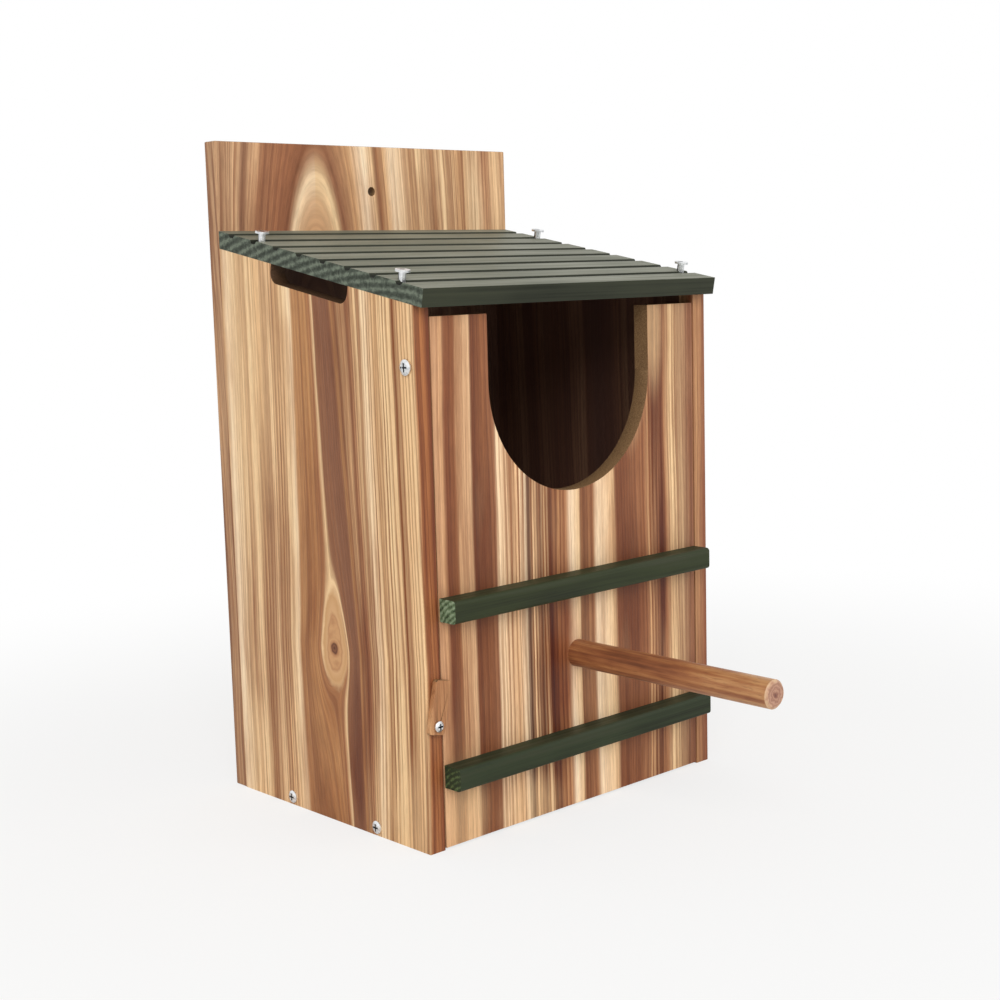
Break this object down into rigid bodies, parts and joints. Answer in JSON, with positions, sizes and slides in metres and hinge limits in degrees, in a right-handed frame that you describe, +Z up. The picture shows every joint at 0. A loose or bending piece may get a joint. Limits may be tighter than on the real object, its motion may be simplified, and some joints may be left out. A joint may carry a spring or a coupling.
{
  "type": "owl nest box",
  "caption": "Wooden owl nest box with a sloping grooved roof, U-shaped entrance, perch and a swinging front held by a turn-button.",
  "frame": {"origin": "middle of the whole part's footprint, perch included, on the level surface the box stands on", "axes": "+Z up; the entrance and perch face -Y; +X is to the right of someone who looks at the front"},
  "size_m": [0.224, 0.31, 0.37],
  "materials": {
    "torched_wood": "softwood, torched brown and brushed, lightly varnished",
    "green_stained_wood": "dark green wood stain, satin",
    "zinc_steel": "bright zinc plated steel"
  },
  "bodies": {
    "housing": {"back_board": "torched_wood", "left_side": "torched_wood", "right_side": "torched_wood", "floor_board": "torched_wood", "roof_board": "green_stained_wood", "turn_button_screw": "zinc_steel", "left_front_floor_screw": "zinc_steel", "left_rear_floor_screw": "zinc_steel", "right_front_floor_screw": "zinc_steel", "right_rear_floor_screw": "zinc_steel", "left_lower_back_screw": "zinc_steel", "left_middle_back_screw": "zinc_steel", "left_upper_back_screw": "zinc_steel", "right_lower_back_screw": "zinc_steel", "right_middle_back_screw": "zinc_steel", "right_upper_back_screw": "zinc_steel", "left_floor_back_screw": "zinc_steel", "right_floor_back_screw": "zinc_steel", "left_front_roof_nail": "zinc_steel", "left_rear_roof_nail": "zinc_steel", "right_front_roof_nail": "zinc_steel", "right_rear_roof_nail": "zinc_steel"},
    "front": {"front_panel": "torched_wood", "upper_batten": "green_stained_wood", "lower_batten": "green_stained_wood", "perch": "torched_wood", "left_pivot_screw": "zinc_steel", "right_pivot_screw": "zinc_steel"},
    "button": {"turn_button": "torched_wood"}
  },
  "joints": [
    {"name": "front_swing", "type": "hinge", "parent": "housing", "child": "front", "pos_m": [0, -0.014, 0.249], "axis": [-1, 0, 0], "range_deg": [0, 90]},
    {"name": "button_turn", "type": "hinge", "parent": "housing", "child": "button", "pos_m": [-0.105, -0.02, 0.0675], "axis": [0, -1, 0], "range_deg": [0, 102]}
  ]
}
